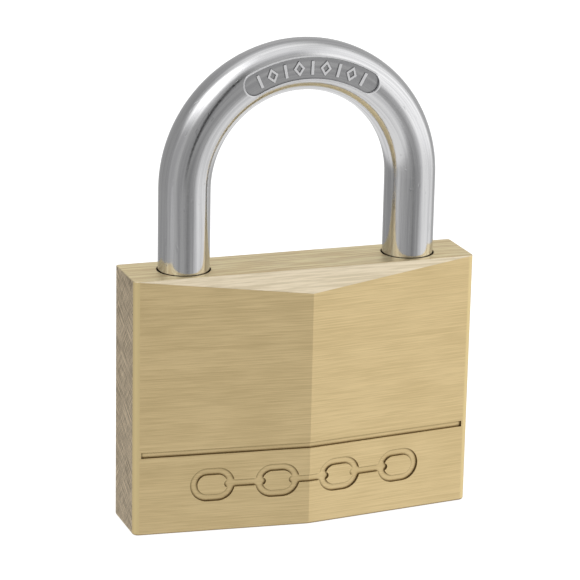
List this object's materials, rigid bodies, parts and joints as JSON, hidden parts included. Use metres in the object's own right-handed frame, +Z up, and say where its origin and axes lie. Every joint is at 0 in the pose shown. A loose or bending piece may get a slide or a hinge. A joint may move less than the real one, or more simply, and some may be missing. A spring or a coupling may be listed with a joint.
{
  "type": "padlock",
  "caption": "Padlock with a ridged solid brass body and a round steel shackle that lifts once its keyed plug draws the latches back.",
  "frame": {"origin": "middle of the body's base", "axes": "+Z up along the shackle's legs, -Y the engraved front, +X the side of the short leg"},
  "size_m": [0.05, 0.0142, 0.0684],
  "materials": {
    "body_brass": "fine horizontal brushing",
    "shackle_steel": "satin",
    "latch_steel": "ground",
    "spring_steel": "drawn wire",
    "plug_brass": "turned",
    "cam_steel": "turned",
    "retaining_pin_steel": "ground",
    "pressed_plug_brass": "ground flush",
    "key_pin_brass": "turned",
    "driver_pin_brass": "turned"
  },
  "bodies": {
    "body": {"lock_body": "body_brass", "plug_retaining_pin": "retaining_pin_steel", "latch_bore_plug": "pressed_plug_brass", "chamber_plug_1": "pressed_plug_brass", "chamber_plug_2": "pressed_plug_brass", "chamber_plug_3": "pressed_plug_brass", "chamber_plug_4": "pressed_plug_brass", "shackle_spring": "spring_steel", "latch_spring": "spring_steel", "driver_spring_1": "spring_steel", "driver_spring_2": "spring_steel", "driver_spring_3": "spring_steel", "driver_spring_4": "spring_steel"},
    "shackle_bow": {"shackle": "shackle_steel"},
    "plug": {"cylinder_plug": "plug_brass", "plug_cam": "cam_steel"},
    "toe_bolt": {"toe_latch": "latch_steel"},
    "heel_bolt": {"heel_latch": "latch_steel"},
    "driver_1": {"driver_pin_1": "driver_pin_brass"},
    "driver_2": {"driver_pin_2": "driver_pin_brass"},
    "driver_3": {"driver_pin_3": "driver_pin_brass"},
    "driver_4": {"driver_pin_4": "driver_pin_brass"},
    "key_1": {"key_pin_1": "key_pin_brass"},
    "key_2": {"key_pin_2": "key_pin_brass"},
    "key_3": {"key_pin_3": "key_pin_brass"},
    "key_4": {"key_pin_4": "key_pin_brass"}
  },
  "joints": [
    {"name": "shackle_lift", "type": "slide", "parent": "body", "child": "shackle_bow", "axis": [0, 0, 1], "range_m": [0, 0.0103], "deforming": ["shackle_spring"]},
    {"name": "plug_turn", "type": "hinge", "parent": "body", "child": "plug", "pos_m": [0, 0, 0], "axis": [0, 0, 1], "range_deg": [0, 90]},
    {"name": "toe_latch_slide", "type": "slide", "parent": "body", "child": "toe_bolt", "axis": [1, 0, 0], "range_m": [0, 0.0014], "deforming": ["latch_spring"]},
    {"name": "heel_latch_slide", "type": "slide", "parent": "body", "child": "heel_bolt", "axis": [-1, 0, 0], "range_m": [0, 0.0014], "deforming": ["latch_spring"]},
    {"name": "driver_pin_1_slide", "type": "slide", "parent": "body", "child": "driver_1", "axis": [1, 0, 0], "range_m": [0, 0.0012], "stiffness_N_per_m": 100, "springref_m": -0.004, "deforming": ["driver_spring_1"]},
    {"name": "driver_pin_2_slide", "type": "slide", "parent": "body", "child": "driver_2", "axis": [1, 0, 0], "range_m": [0, 0.0012], "stiffness_N_per_m": 100, "springref_m": -0.004, "deforming": ["driver_spring_2"]},
    {"name": "driver_pin_3_slide", "type": "slide", "parent": "body", "child": "driver_3", "axis": [1, 0, 0], "range_m": [0, 0.0012], "stiffness_N_per_m": 100, "springref_m": -0.004, "deforming": ["driver_spring_3"]},
    {"name": "driver_pin_4_slide", "type": "slide", "parent": "body", "child": "driver_4", "axis": [1, 0, 0], "range_m": [0, 0.0012], "stiffness_N_per_m": 100, "springref_m": -0.004, "deforming": ["driver_spring_4"]},
    {"name": "key_pin_1_slide", "type": "slide", "parent": "plug", "child": "key_1", "axis": [0, 1, 0], "range_m": [0, 0.0016]},
    {"name": "key_pin_2_slide", "type": "slide", "parent": "plug", "child": "key_2", "axis": [0, 1, 0], "range_m": [0, 0.0023]},
    {"name": "key_pin_3_slide", "type": "slide", "parent": "plug", "child": "key_3", "axis": [0, 1, 0], "range_m": [0, 0.0013]},
    {"name": "key_pin_4_slide", "type": "slide", "parent": "plug", "child": "key_4", "axis": [0, 1, 0], "range_m": [0, 0.002]}
  ],
  "couplings": [
    {"joint": "toe_latch_slide", "follows": "plug_turn", "m_per_rad": 0.00089126},
    {"joint": "heel_latch_slide", "follows": "plug_turn", "m_per_rad": 0.00089126}
  ]
}
